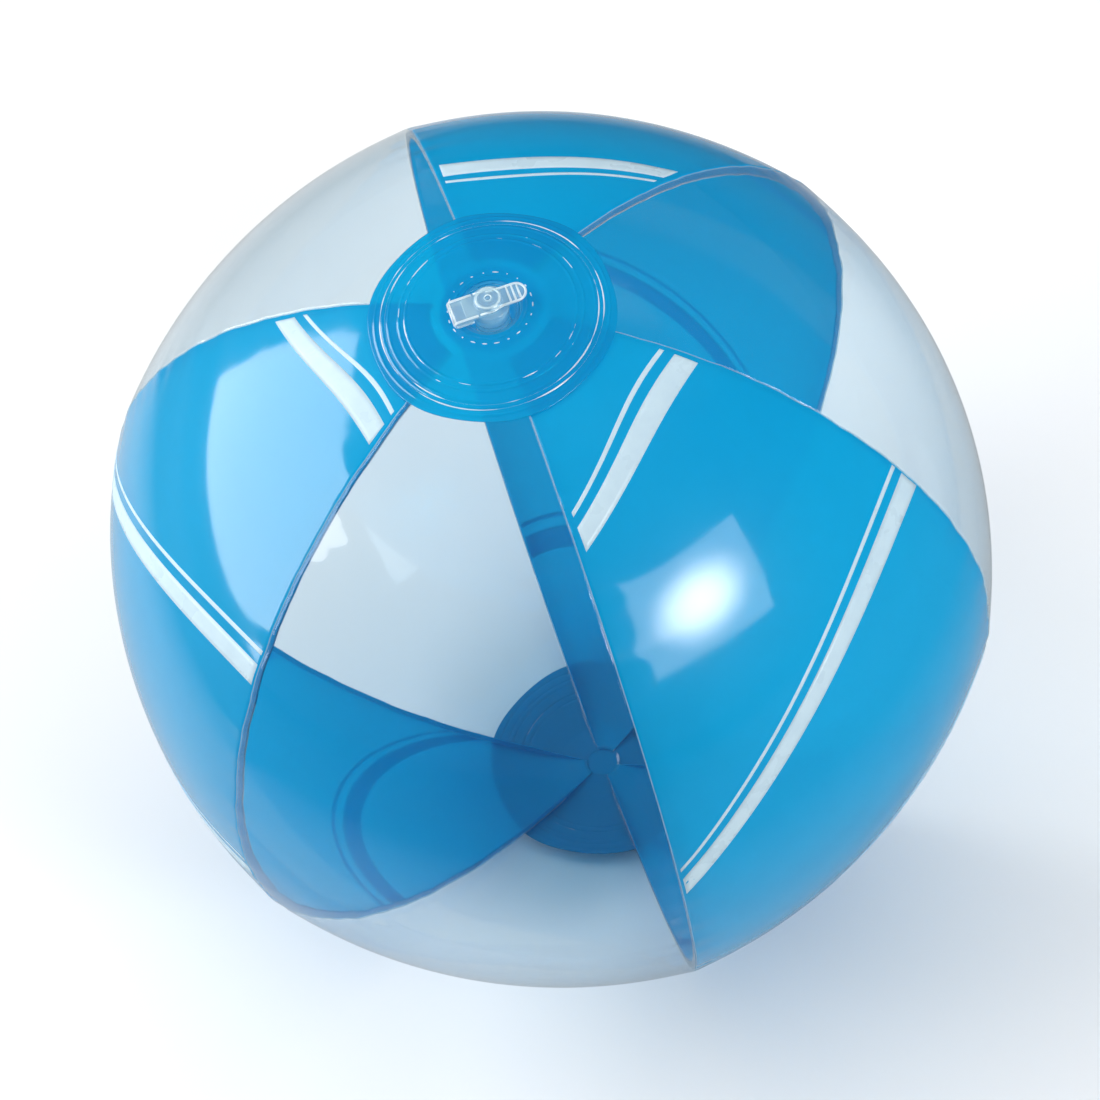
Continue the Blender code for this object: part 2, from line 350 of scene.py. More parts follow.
def filmMaterial(name, look):
    # see-through vinyl: tinted clear part, a little milk in it, and gloss by angle
    material, tree, nodes = startMaterial(name)
    clear = nodes.new("ShaderNodeBsdfTransparent")
    tint = nodes.new("ShaderNodeMix")
    tint.data_type = "RGBA"
    tint.inputs["A"].default_value = (*look["tint"], 1)
    tint.inputs["B"].default_value = (*look["tintDeep"], 1)
    cloudy = objectNoise(tree, look["cloudScale"], 3)
    tree.links.new(spread(tree, cloudy, 0.35, 0.65, 0, 1), tint.inputs["Factor"])
    tree.links.new(tint.outputs["Result"], clear.inputs["Color"])
    milk = nodes.new("ShaderNodeBsdfPrincipled")
    setSockets(milk, {"Base Color": (*look["milk"], 1), "Roughness": 0.45, "IOR": 1.50,
                      "Specular IOR Level": 0.2})
    glow = nodes.new("ShaderNodeBsdfTranslucent")
    glow.inputs["Color"].default_value = (*look["milk"], 1)
    pigment = mixShaders(tree, look["glow"], milk.outputs[0], glow.outputs[0])
    gloss = nodes.new("ShaderNodeBsdfGlossy")
    gloss.inputs["Color"].default_value = (1, 1, 1, 1)
    smear = objectNoise(tree, 55, 4)
    tree.links.new(spread(tree, smear, 0.3, 0.7, look["rough"] * 0.7, look["rough"] * 1.4),
                   gloss.inputs["Roughness"])
    bump = nodes.new("ShaderNodeBump")
    setSockets(bump, {"Strength": 0.25, "Distance": look["bump"]})
    tree.links.new(objectNoise(tree, look["bumpScale"], 2, look["grain"]), bump.inputs["Height"])
    tree.links.new(bump.outputs[0], gloss.inputs["Normal"])
    haze = spread(tree, objectNoise(tree, 18, 5), 0.3, 0.7, look["haze"] * 0.95, look["haze"] * 1.05)
    body = mixShaders(tree, haze, clear.outputs[0], pigment)
    angle = nodes.new("ShaderNodeFresnel")
    angle.inputs["IOR"].default_value = look["ior"]
    skin = mixShaders(tree, angle.outputs[0], body, gloss.outputs[0])
    # a film is so thin that only the side met first counts; the other lets all light pass
    side = nodes.new("ShaderNodeNewGeometry")
    passOn = nodes.new("ShaderNodeBsdfTransparent")
    skin = mixShaders(tree, side.outputs["Backfacing"], skin, passOn.outputs[0])
    done = nodes.new("ShaderNodeOutputMaterial")
    tree.links.new(skin, done.inputs["Surface"])
    return material


def inkMaterial(name, look):
    # screen-printed white: nearly matt, a little thin in places
    material, tree, nodes = startMaterial(name)
    shader = nodes.new("ShaderNodeBsdfPrincipled")
    setSockets(shader, {"IOR": 1.48})
    shade = nodes.new("ShaderNodeMix")
    shade.data_type = "RGBA"
    shade.inputs["A"].default_value = (*look["thin"], 1)
    shade.inputs["B"].default_value = (*look["full"], 1)
    tree.links.new(spread(tree, objectNoise(tree, 160, 4), 0.35, 0.6, 0, 1), shade.inputs["Factor"])
    tree.links.new(shade.outputs["Result"], shader.inputs["Base Color"])
    tree.links.new(spread(tree, objectNoise(tree, 90, 3), 0.3, 0.7, 0.22, 0.38),
                   shader.inputs["Roughness"])
    bump = nodes.new("ShaderNodeBump")
    setSockets(bump, {"Strength": 0.3, "Distance": 0.00003})
    tree.links.new(objectNoise(tree, 1500, 2), bump.inputs["Height"])
    tree.links.new(bump.outputs[0], shader.inputs["Normal"])
    # some light comes through the ink, as it does through the film under it
    glow = nodes.new("ShaderNodeBsdfTranslucent")
    glow.inputs["Color"].default_value = (*look["through"], 1)
    skin = mixShaders(tree, look["glow"], shader.outputs[0], glow.outputs[0])
    done = nodes.new("ShaderNodeOutputMaterial")
    tree.links.new(skin, done.inputs["Surface"])
    return material


film = {
    "blue": {"tint": (0.001, 0.410, 0.720), "tintDeep": (0.000, 0.360, 0.680),
             "milk": (0.000, 0.430, 0.750), "haze": 0.92, "glow": 0.44,
             "rough": 0.08, "ior": 1.52, "cloudScale": 9, "bump": 0.0002, "bumpScale": 60,
             "grain": (1, 1, 0.25)},
    "clear": {"tint": (0.874, 0.933, 0.956), "tintDeep": (0.850, 0.915, 0.945),
              "milk": (0.600, 0.800, 0.880), "haze": 0.020, "glow": 0.35,
              "rough": 0.06, "ior": 1.50, "cloudScale": 9, "bump": 0.0002, "bumpScale": 60,
              "grain": (1, 1, 0.25)},
    "cap": {"tint": (0.000, 0.400, 0.700), "tintDeep": (0.000, 0.385, 0.685),
            "milk": (0.000, 0.450, 0.780), "haze": 0.72, "glow": 0.40,
            "rough": 0.09, "ior": 1.55, "cloudScale": 30, "bump": 0.0002, "bumpScale": 150,
            "grain": (1, 1, 1)},
    # the lower cap's film: the cap's blue made darker, a painted shade for where the cap lies on the
    # floor
    "lowCap": {"tint": (0.000, 0.300, 0.560), "tintDeep": (0.000, 0.280, 0.540),
               "milk": (0.000, 0.270, 0.520), "haze": 0.85, "glow": 0.15,
               "rough": 0.09, "ior": 1.55, "cloudScale": 30, "bump": 0.0002, "bumpScale": 150,
               "grain": (1, 1, 1)},
    "vinyl": {"tint": (0.820, 0.930, 0.960), "tintDeep": (0.720, 0.880, 0.930),
              "milk": (0.700, 0.900, 0.970), "haze": 0.34, "glow": 0.35,
              "rough": 0.07, "ior": 1.75, "cloudScale": 120, "bump": 0.0001, "bumpScale": 900,
              "grain": (1, 1, 1)},
    "membrane": {"tint": (0.250, 0.700, 0.880), "tintDeep": (0.200, 0.660, 0.860),
                 "milk": (0.100, 0.560, 0.830), "haze": 0.45, "glow": 0.40,
                 "rough": 0.09, "ior": 1.50, "cloudScale": 120, "bump": 0.0001,
                 "bumpScale": 900, "grain": (1, 1, 1)},
    "rib": {"tint": (0.800, 0.930, 0.970), "tintDeep": (0.700, 0.880, 0.950),
            "milk": (0.900, 0.980, 1.000), "haze": 0.82, "glow": 0.25,
            "rough": 0.07, "ior": 1.80, "cloudScale": 120, "bump": 0.0001, "bumpScale": 900,
            "grain": (1, 1, 1)},
    "weld": {"tint": (0.300, 0.690, 0.860), "tintDeep": (0.200, 0.620, 0.830),
             "milk": (0.620, 0.860, 0.950), "haze": 0.50, "glow": 0.35,
             "rough": 0.12, "ior": 1.65, "cloudScale": 200, "bump": 0.0001, "bumpScale": 700,
             "grain": (1, 1, 1)},
}
blueFilm = filmMaterial("blueFilm", film["blue"])
clearFilm = filmMaterial("clearFilm", film["clear"])
capFilm = filmMaterial("capFilm", film["cap"])
# darker copy of the cap film, painted shade for the lower cap
lowCapFilm = filmMaterial("lowCapFilm", film["lowCap"])
clearVinyl = filmMaterial("clearVinyl", film["vinyl"])
weldVinyl = filmMaterial("weldVinyl", film["weld"])
membraneVinyl = filmMaterial("membraneVinyl", film["membrane"])
ribVinyl = filmMaterial("ribVinyl", film["rib"])
whiteInk = inkMaterial("whiteInk", {"thin": (0.56, 0.70, 0.78), "full": (0.60, 0.74, 0.81),
                                    "through": (0.80, 0.92, 0.97), "glow": 0.25})
print("materials made")


# panels: film gores whose edges roll in and stand as fins inside

panel = {
    "wall": 0.0002,
    "finWidth": 0.0025,
    "edgeRoll": 0.0007,
    "seamGap": 0.00004,     # half the space between two neighbours
    "columns": 78,
    "rows": 200,
    "mainShare": 0.84,      # columns on the face, in the roll, in the fin
    "rollShare": 0.94,
    "lowEnd": 0.0050,       # lower tips run on under the cap, this far from the pole
    "floor": 0.0006,        # a panel's skin stays above this, clear of the cap
    "finFade": (0.006, 0.024),      # distances from the axis between which the fins grow
}


def makePanelTree():
    group, entry, size = startTree("gorePanel", {
        "Middle": 0.0, "Tip Latitude": 1.4, "Low Latitude": 1.5, "Edge Roll": panel["edgeRoll"],
        "Fin Width": panel["finWidth"], "Seam Gap": panel["seamGap"]})
    mesh, u, v = gridOf(group, panel["columns"], panel["rows"])
    share = v * 0.7 + (v * (math.pi / 2)).sin() * 0.3
    below = share.math("LESS_THAN", 0.0)
    latitude = share * (size["Tip Latitude"]
                        + (size["Low Latitude"] - size["Tip Latitude"]) * below)
    side = u.math("ABSOLUTE")
    main = side.between(0, panel["mainShare"])
    main = (main * 0.55 + (main * (math.pi / 2)).sin() * 0.45)
    roll = side.between(panel["mainShare"], panel["rollShare"]) * (math.pi / 2)
    fin = side.between(panel["rollShare"], 1)
    reach = latitude.cos() * ball["radius"]
    face = reach * (panelAngle / 2) - size["Edge Roll"] - size["Seam Gap"]
    along = main * face + roll.sin() * size["Edge Roll"]
    azimuth = u.math("SIGN") * along / reach + size["Middle"]
    tall = reach.between(*panel["finFade"])
    drop = (1 - roll.cos()) * size["Edge Roll"] + fin * tall * size["Fin Width"]
    point = onSkin(group, azimuth, latitude, drop * -1)
    point = keepAbove(group, point, panel["floor"])
    endTree(group, entry, setPlace(group, mesh, point))
    return group


panelTree = makePanelTree()
tipLatitude = math.asin(tipSine)
lowLatitude = math.acos(panel["lowEnd"] / ball["radius"])
for number in range(ball["panelCount"]):
    kind = "clear" if number % 2 else "blue"
    node = f"{kind}_panel_{number // 2 + 1}"
    middle = ball["firstSeam"] + (number + 0.5) * panelAngle
    gore = runTree(f"gore_{kind}_{number // 2 + 1}", panelTree, clearFilm if number % 2 else blueFilm,
                   {"Middle": middle, "Tip Latitude": tipLatitude, "Low Latitude": lowLatitude},
                   [solidify(panel["wall"])])
    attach(gore, "ball")
    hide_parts(node)
print("panels made")


# seams: the thin bead squeezed out where two films are welded

seam = {"beadRadius": 0.00015, "sink": 0.00018, "steps": 260, "sides": 8}


def makeSeamTree():
    group, entry, size = startTree("seamBead", {
        "Azimuth": 0.0, "Tip Latitude": 1.4, "Bead Radius": seam["beadRadius"], "Sink": seam["sink"]})
    line = group.nodes.new("GeometryNodeMeshLine")
    line.inputs["Count"].default_value = seam["steps"]
    index = Field(group, group.nodes.new("GeometryNodeInputIndex").outputs[0])
    latitude = (index * (2 / (seam["steps"] - 1)) - 1) * size["Tip Latitude"]
    point = onSkin(group, size["Azimuth"], latitude, size["Sink"] * -1)
    path = group.nodes.new("GeometryNodeMeshToCurve")
    group.links.new(setPlace(group, line.outputs[0], point), path.inputs["Mesh"])
    ring = group.nodes.new("GeometryNodeCurvePrimitiveCircle")
    ring.inputs["Resolution"].default_value = seam["sides"]
    group.links.new(size["Bead Radius"].socket, ring.inputs["Radius"])
    bead = group.nodes.new("GeometryNodeCurveToMesh")
    group.links.new(path.outputs[0], bead.inputs["Curve"])
    group.links.new(ring.outputs[0], bead.inputs["Profile Curve"])
    bead.inputs["Fill Caps"].default_value = True
    endTree(group, entry, bead.outputs[0])
    return group


seamTree = makeSeamTree()
for number in range(ball["panelCount"]):
    bead = runTree(f"seam_weld_{number + 1}", seamTree, weldVinyl,
                   {"Azimuth": ball["firstSeam"] + number * panelAngle, "Tip Latitude": tipLatitude})
    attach(bead, "ball")
print("seams made")


# printed waves: a thin line and a broad band, again and again down each blue panel

wave = {
    "ink": 0.00003,
    "proud": 0.00006,
    "lineWidth": math.radians(0.62),
    "bandGap": math.radians(1.35),
    "bandWidth": math.radians(3.1),
    "columns": 64,
    # latitude of the line at the panel's middle, its climb and its bend, in degrees
    "waves": [(72.9, 3.8, -4.1), (33.6, 11.8, -7.4), (-7.5, 18.0, -10.0), (-48.0, 11.3, -7.6)],
    "reach": (0.94, 0.985, 0.985, 0.985),
    # how far each panel's print has slipped along it, in degrees
    "slip": {1: -4.3, 2: -7.0, 3: -0.4},
    # and how much more it has slipped below the equator
    "sag": {1: -7.0, 2: -2.0, 3: -1.0},
}


def makeWaveTree():
    group, entry, size = startTree("inkStripe", {
        "Middle": 0.0, "Level": 0.0, "Climb": 0.0, "Bend": 0.0, "Reach": 1.0,
        "Start": 0.0, "Width": 0.01, "Proud": wave["proud"]})
    mesh, u, v = gridOf(group, wave["columns"], 4)
    across = u * size["Reach"]
    level = size["Level"] + size["Climb"] * across + size["Bend"] * across * across
    latitude = level - size["Start"] - (v * -0.5 + 0.5) * size["Width"]
    azimuth = across * (panelAngle / 2) + size["Middle"]
    point = onSkin(group, azimuth, latitude, size["Proud"])
    endTree(group, entry, setPlace(group, mesh, point))
    return group


waveTree = makeWaveTree()


def joinPieces(name, pieces):
    form = bmesh.new()
    for piece in pieces:
        form.from_mesh(piece.data)
    first = pieces[0]
    form.to_mesh(first.data)
    form.free()
    first.name = first.data.name = name
    for piece in pieces[1:]:
        bpy.data.objects.remove(piece)
    return first


for number in (1, 2, 3):
    middle = ball["firstSeam"] + (2 * number - 1.5) * panelAngle
    slip = math.radians(wave["slip"][number])
    strips = []
    for (level, climb, bend), reach in zip(wave["waves"], wave["reach"]):
        start = 0.0
        for width, gap in ((wave["lineWidth"], wave["bandGap"]), (wave["bandWidth"], 0)):
            strips.append(runTree("strip", waveTree, whiteInk, {
                "Middle": middle,
                "Level": math.radians(level + (wave["sag"][number] if level < 0 else 0)) + slip,
                "Climb": math.radians(climb), "Bend": math.radians(bend), "Reach": reach,
                "Start": start, "Width": width}, [solidify(wave["ink"], 1.0)]))
            start += width + gap
    ink = joinPieces(f"wave_print_{number}", strips)
    ink.visible_shadow = ink.visible_diffuse = False    # it hardly dims the film from inside
    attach(ink, "ball")
print("printed waves made")


# end caps: round patches with fine welded rings, the lower one pressed flat where it stands

cap = {
    "wall": 0.0003,
    "lift": 0.00060,
    "radius": (capHigh[0] - capLow[0]) / 2,
    "hole": 0.0098,
    "rings": 150,
    "steps": 216,
    "lobes": 0.010,          # the edge is drawn out a little over each seam
    "ridges": (0.300, 0.690, 0.745, 0.835, 0.880, 0.945),   # shares of the cap's radius
    "ridgeWidth": 0.00034,
    "ridgeHeight": 0.00026,
    "floor": 0.00006,
    "weldGap": 0.000004,     # points closer than this become one
}


def makeCapTree():
    group, entry, size = startTree("endCap", {
        "Side": 1.0, "Hole": cap["hole"], "Radius": cap["radius"], "Lift": cap["lift"],
        "Ridge Height": cap["ridgeHeight"], "Ridge Width": cap["ridgeWidth"]})
    mesh, u, v = gridOf(group, cap["steps"], cap["rings"])
    azimuth = u * math.pi * size["Side"]
    edge = ((azimuth - ball["firstSeam"]) * ball["panelCount"]).cos() * cap["lobes"] + 1
    out = (v * 0.5 + 0.5) * (size["Radius"] * edge - size["Hole"]) + size["Hole"]
    around = vectorOf(group, azimuth.cos(), azimuth.sin(), out * 60)
    broken = noiseOf(group, around, 0.25, 2).between(-0.35, 0.45) * 0.8 + 0.3
    relief = Field(group, size["Lift"].socket)
    for share in cap["ridges"]:
        off = (out - size["Radius"] * share) / size["Ridge Width"]
        relief = relief + (off * off * -1).math("EXPONENT") * broken * size["Ridge Height"]
    latitude = (out / ball["radius"]).math("ARCCOSINE") * size["Side"]
    point = onSkin(group, azimuth, latitude, relief)
    point = keepAbove(group, point, cap["floor"])
    geometry = mergeClose(group, setPlace(group, mesh, point), cap["weldGap"])
    endTree(group, entry, geometry)
    return group


capTree = makeCapTree()
# the lower cap takes the darker film, its painted shade where it lies on the floor
for name, node, side, hole, look in (("cap_top", "top_cap", 1.0, cap["hole"], capFilm),
                                     ("cap_bottom", "bottom_cap", -1.0, 0.0, lowCapFilm)):
    patch = runTree(name, capTree, look, {"Side": side, "Hole": hole}, [solidify(cap["wall"], 1.0)])
    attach(patch, "ball")
    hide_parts(node)

weldRing = {"radius": 0.0128, "count": 22, "length": 0.0008, "width": 0.00022, "height": 0.00018}


def makeWeldRingTree():
    group, entry, size = startTree("weldDashes", {
        "Radius": weldRing["radius"], "Count": weldRing["count"], "Length": weldRing["length"],
        "Width": weldRing["width"], "Height": weldRing["height"], "Lift": cap["lift"]})
    line = group.nodes.new("GeometryNodeMeshLine")
    group.links.new(size["Count"].socket, line.inputs["Count"])
    index = Field(group, group.nodes.new("GeometryNodeInputIndex").outputs[0])
    azimuth = index * (2 * math.pi) / size["Count"]
    latitude = (size["Radius"] / ball["radius"]).math("ARCCOSINE")
    points = setPlace(group, line.outputs[0], onSkin(group, azimuth, latitude, size["Lift"]))
    pad = group.nodes.new("GeometryNodeMeshIcoSphere")
    pad.inputs["Radius"].default_value = 0.5
    pad.inputs["Subdivisions"].default_value = 2
    place = group.nodes.new("GeometryNodeInstanceOnPoints")
    group.links.new(points, place.inputs["Points"])
    group.links.new(pad.outputs["Mesh"], place.inputs["Instance"])
    group.links.new(vectorOf(group, 0.0, 0.0, azimuth + math.pi / 2), place.inputs["Rotation"])
    uneven = group.nodes.new("FunctionNodeRandomValue")
    uneven.data_type = "FLOAT"
    for label, value in (("Min", 0.1), ("Max", 1.3)):
        [s for s in uneven.inputs if s.name == label and s.type == "VALUE"][0].default_value = value
    uneven.inputs["Seed"].default_value = 7
    vary = Field(group, [s for s in uneven.outputs if s.type == "VALUE"][0])
    group.links.new(vectorOf(group, vary * size["Length"] * 2, size["Width"] * 2,
                             size["Height"] * 2), place.inputs["Scale"])
    endTree(group, entry, place.outputs[0])
    return group


dashes = runTree("flange_weld_marks", makeWeldRingTree(), ribVinyl, {})
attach(dashes, "ball")

capRing = {"bead": 0.00023, "steps": 400, "shares": (0.70, 0.745, 0.86, 0.90)}


def makeCapRingTree():
    group, entry, size = startTree("capRing", {
        "Radius": 0.03, "Side": 1.0, "Bead": capRing["bead"], "Lift": cap["lift"], "Seed": 0.0})
    line = group.nodes.new("GeometryNodeMeshLine")
    line.inputs["Count"].default_value = capRing["steps"]
    index = Field(group, group.nodes.new("GeometryNodeInputIndex").outputs[0])
    azimuth = index * (2 * math.pi / (capRing["steps"] - 1))
    latitude = (size["Radius"] / ball["radius"]).math("ARCCOSINE") * size["Side"]
    path = group.nodes.new("GeometryNodeMeshToCurve")
    point = onSkin(group, azimuth, latitude, size["Lift"])
    group.links.new(setPlace(group, line.outputs[0], point), path.inputs["Mesh"])
    around = vectorOf(group, azimuth.cos(), azimuth.sin(), size["Seed"])
    thick = noiseOf(group, around, 0.45, 2).between(0.0, 0.26)
    swell = group.nodes.new("GeometryNodeSetCurveRadius")
    group.links.new(path.outputs[0], swell.inputs["Curve"])
    group.links.new((thick * 0.96 + 0.04).socket, swell.inputs["Radius"])
    ring = group.nodes.new("GeometryNodeCurvePrimitiveCircle")
    ring.inputs["Resolution"].default_value = 8
    group.links.new(size["Bead"].socket, ring.inputs["Radius"])
    bead = group.nodes.new("GeometryNodeCurveToMesh")
    group.links.new(swell.outputs[0], bead.inputs["Curve"])
    group.links.new(ring.outputs[0], bead.inputs["Profile Curve"])
    radius = group.nodes.new("GeometryNodeInputRadius")
    group.links.new(radius.outputs[0], bead.inputs["Scale"])
    endTree(group, entry, bead.outputs[0])
    return group


capRingTree = makeCapRingTree()
for side, label in ((1.0, "top"), (-1.0, "bottom")):
    rings = [runTree("ring", capRingTree, ribVinyl if side > 0 else weldVinyl,
                     {"Radius": cap["radius"] * share, "Side": side, "Seed": 3.7 * number})
             for number, share in enumerate(capRing["shares"])]
    welds = joinPieces(f"cap_{label}_weld_rings", rings)
    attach(welds, "ball")
print("end caps made")


# valve

valve = {
    "steps": 96,
    "bore": 0.0033,
    "stemWall": 0.0019,
    "collarDepth": 0.0022,
    "edge": 0.00035,
    "skirtWall": 0.0005,
    "foldRadius": 0.00095,
    "strapThickness": 0.0009,
    "strapWidth": 0.0090,
    "tabWidth": 0.0071,
    "tabThickness": 0.0012,
    "headRadius": 0.0043,
    "seat": 0.00012,        # gap between the rim and the plug
    "flangeInner": 0.0090,      # radius of the flange's opening
    "flangeWall": 0.0008,
    "ribInset": 0.0005,     # from the strap's edge to the middle of its border
    "tabInset": 0.0004,
    "borderBead": 0.00040,
}
rimZ = stemHigh[2]
collarRadius = stemHigh[0]
foldX, _, foldZ = joints["plug_swing"]["pos_m"]


def arc(centreX, centreZ, radius, start, end, count=5):
    # points on a quarter or so of a circle, in degrees from +X
    angles = [math.radians(start + (end - start) * step / count) for step in range(count + 1)]
    return [(centreX + radius * math.cos(a), centreZ + radius * math.sin(a)) for a in angles]


def lathe(profile, steps, closed):
    # turns (radius, height) points about Z; an open profile starts and ends on the axis
    form = bmesh.new()
    rings = []
    for radius, height in profile:
        if radius < 1e-7:
            rings.append([form.verts.new((0, 0, height))] * steps)
            continue
        angles = [2 * math.pi * step / steps for step in range(steps)]
        rings.append([form.verts.new((radius * math.cos(a), radius * math.sin(a), height))
                      for a in angles])
    pairs = list(zip(rings, rings[1:]))
    if closed:
        pairs.append((rings[-1], rings[0]))
    for upper, lower in pairs:
        for step in range(steps):
            after = (step + 1) % steps
            corners = [upper[step], lower[step], lower[after], upper[after]]
            corners = list(dict.fromkeys(corners))
            if len(corners) > 2:
                form.faces.new(corners)
    bmesh.ops.recalc_face_normals(form, faces=form.faces)
    return form


def finishPiece(name, form, material, body, slot, *nodes):
    mesh = bpy.data.meshes.new(name)
    form.to_mesh(mesh)
    form.free()
    mesh.materials.append(material)
    mesh.shade_smooth()
    piece = bpy.data.objects.new(name, mesh)
    bpy.context.scene.collection.objects.link(piece)
    if nodes:
        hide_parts(*nodes)
    if body:
        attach(piece, body)
    return piece


def makeFlange():
    # welded ring under the cap; its inner edge shows in the cap's hole
    inner, outer = valve["flangeInner"], flangeHigh[0]
    shell = math.hypot(flangeHigh[2] - ball["centreZ"], inner)
    wall = valve["flangeWall"]

    def height(radius, sphere):
        return ball["centreZ"] + math.sqrt(sphere ** 2 - radius ** 2)

    steps = 40
    radii = [inner + (outer - inner) * n / steps for n in range(steps + 1)]
    top = [(r, height(r, shell) - 0.00008 * (1 + math.cos(r / 0.0009 * 2 * math.pi)) / 2)
           for r in radii]
    under = [(r, height(r, shell - wall)) for r in reversed(radii)]
    return lathe(top + under, valve["steps"], True)


def makeSkirt():
    # membrane under the flange, drawn in one fixed shape; the real one turns inside out as the stem
    # is pulled out
    topR = valve["flangeInner"] - 0.0003
    footR = valve["bore"] + valve["stemWall"] + 0.00004 + valve["skirtWall"]
    topZ, footZ = skirtHigh[2], skirtLow[2]
    count = 40
    line = []
    for step in range(count + 1):
        share = step / count
        ripple = 0.00012 * math.sin(share * 14 * math.pi) * (1 - share)
        line.append((footR + (topR - footR) * math.sqrt(1 - share ** 2) + ripple,
                     topZ + (footZ - topZ) * share))
    inside = [(r - valve["skirtWall"], z) for r, z in reversed(line)]
    return lathe(line + inside, valve["steps"], True)


def makeStem():
    # blown-through tube with a collar; two moulded rings run round it
    bore = valve["bore"]
    tube = bore + valve["stemWall"]
    edge = valve["edge"]
    collarFoot = rimZ - valve["collarDepth"]
    foot = stemLow[2]
    profile = arc(bore + edge, rimZ - edge, edge, 180, 90)
    profile += arc(collarRadius - edge, rimZ - edge, edge, 90, 0)
    profile += arc(collarRadius - edge, collarFoot + edge, edge, 0, -90)
    profile += arc(tube + 0.0002, collarFoot - 0.0002, 0.0002, 90, 180, 3)
    for ring in (0.35, 0.60):
        profile += arc(tube, collarFoot + (foot - collarFoot) * ring, 0.00022, 90, -90, 6)
    profile += arc(tube - edge / 2, foot + edge / 2, edge / 2, 0, -90, 3)
    profile += arc(bore + edge / 2, foot + edge / 2, edge / 2, -90, -180, 3)
    return lathe(profile, valve["steps"], True)


def addBox(form, low, high):
    made = bmesh.ops.create_cube(form, size=1)["verts"]
    for point in made:
        for axis in range(3):
            point.co[axis] = low[axis] if point.co[axis] < 0 else high[axis]


def tabOutline(inset=0.0, count=18):
    # stadium from the plug's axis to the tab's round end
    radius = valve["tabWidth"] / 2 - inset
    centre = plugHigh[0] - valve["tabWidth"] / 2
    turns = [math.radians(-90 + 180 * step / count) for step in range(count + 1)]
    end = [(centre + radius * math.cos(a), radius * math.sin(a)) for a in turns]
    return [(0, -radius)] + end + [(0, radius)]


def addPlate(form, outline, low, high):
    base = form.faces.new([form.verts.new((x, y, low)) for x, y in outline])
    raised = bmesh.ops.extrude_face_region(form, geom=[base])["geom"]
    for item in raised:
        if isinstance(item, bmesh.types.BMVert):
            item.co.z = high


def addBead(form, points, radius, sides=10):
    # a round cord through points that lie level
    rings = []
    for number, (x, y, z) in enumerate(points):
        before = Vector(points[max(number - 1, 0)])
        after = Vector(points[min(number + 1, len(points) - 1)])
        along = (after - before).normalized()
        side = Vector((0, 0, 1)).cross(along)
        ring = []
        for step in range(sides):
            a = 2 * math.pi * step / sides
            ring.append(form.verts.new(Vector((x, y, z)) + side * radius * math.cos(a)
                                       + Vector((0, 0, radius * math.sin(a)))))
        rings.append(ring)
    for near, far in zip(rings, rings[1:]):
        for step in range(sides):
            after = (step + 1) % sides
            form.faces.new((near[step], near[after], far[after], far[step]))
    form.faces.new(list(reversed(rings[0])))
    form.faces.new(rings[-1])


def makePlug():
    # stopper: round head with a gate mark, tapered nose, pull tab's plate, root of the strap
    headFoot, headTop = rimZ + valve["seat"], plugHigh[2]
    noseFoot = plugLow[2]
    radius = valve["headRadius"]
    edge = 0.0007
    profile = [(0, headTop - 0.0005)] + arc(0.0010, headTop - 0.00045, 0.00045, -90, 90, 6)
    profile += arc(0.0026, headTop - 0.00016, 0.00022, 150, 30, 4)
    profile += arc(radius - edge, headTop - edge, edge, 90, 0, 6)
    profile += [(radius, headFoot)]
    reach = -foldX + valve["bore"] - 0.0003
    for step in range(7):
        z = headFoot + (noseFoot - headFoot) * step / 6
        profile.append((math.sqrt(reach ** 2 - (foldZ - z) ** 2) + foldX, z))
    profile.append((0, noseFoot))
    form = lathe(profile, 64, False)
    low, high = headFoot, headFoot + valve["tabThickness"]
    addPlate(form, tabOutline(0.0002), low, high - valve["tabInset"])
    half = valve["strapWidth"] / 2
    addBox(form, (foldX + 0.0026, -half, low), (-0.0010, half, low + valve["strapThickness"]))
    bmesh.ops.recalc_face_normals(form, faces=form.faces)
    return form


def makeRibs():
    # raised border and grip ridges on the pull tab, rails beside the head, rings on its top
    form = bmesh.new()
    inset, border = valve["tabInset"], valve["borderBead"]
    high = rimZ + valve["seat"] + valve["tabThickness"] - inset
    addBead(form, [(x, y, high) for x, y in tabOutline(inset)], border)
    for ridge in range(3):
        x = plugHigh[0] - 0.0025 - ridge * 0.0016
        half = valve["tabWidth"] / 2 - 0.0006 - (0.0006 if ridge == 0 else 0)
        addBead(form, [(x, -half, high), (x, half, high)], 0.00036)
    wide = valve["strapWidth"] / 2 - valve["ribInset"]
    narrow = valve["tabWidth"] / 2 - inset
    for way in (-1, 1):
        addBead(form, [(-valve["headRadius"] + 0.0006, wide * way, high),
                       (0.0004, wide * way, high), (0.0040, narrow * way, high)], border)
    for radius, bead in ((valve["headRadius"] - 0.0007, 0.00038), (0.0011, 0.00022)):
        turns = [2 * math.pi * step / 48 for step in range(49)]
        addBead(form, [(radius * math.cos(a), radius * math.sin(a), plugHigh[2] - bead - 0.00005)
                       for a in turns], bead)
    bmesh.ops.recalc_face_normals(form, faces=form.faces)
    return form


def remeshPiece(piece, voxel, passes):
    # makes one soft moulded skin of overlapping solids
    blocks = piece.modifiers.new("blocks", "REMESH")
    blocks.mode = "VOXEL"
    blocks.voxel_size = voxel
    soft = piece.modifiers.new("soft", "SMOOTH")
    soft.iterations = passes
    soft.factor = 0.6
    return bakeDown(piece, piece.data.materials[0])


def strapPath():
    # (x, z, outward x, outward z) along the band: from the collar, round the fold, to the head
    radius = valve["foldRadius"]
    path = [(-collarRadius + 0.0003 - 0.0006 * step, foldZ - radius, 0, -1) for step in range(7)]
    path = [spot for spot in path if spot[0] > foldX + 0.0002]
    for step in range(17):
        a = math.pi * step / 16
        path.append((foldX - radius * math.sin(a), foldZ - radius * math.cos(a),
                     -math.sin(a), -math.cos(a)))
    upper = [foldX + 0.0007 * step for step in range(1, 10)]
    return path + [(x, foldZ + radius, 0, 1) for x in upper if x < -valve["headRadius"] + 0.0008]


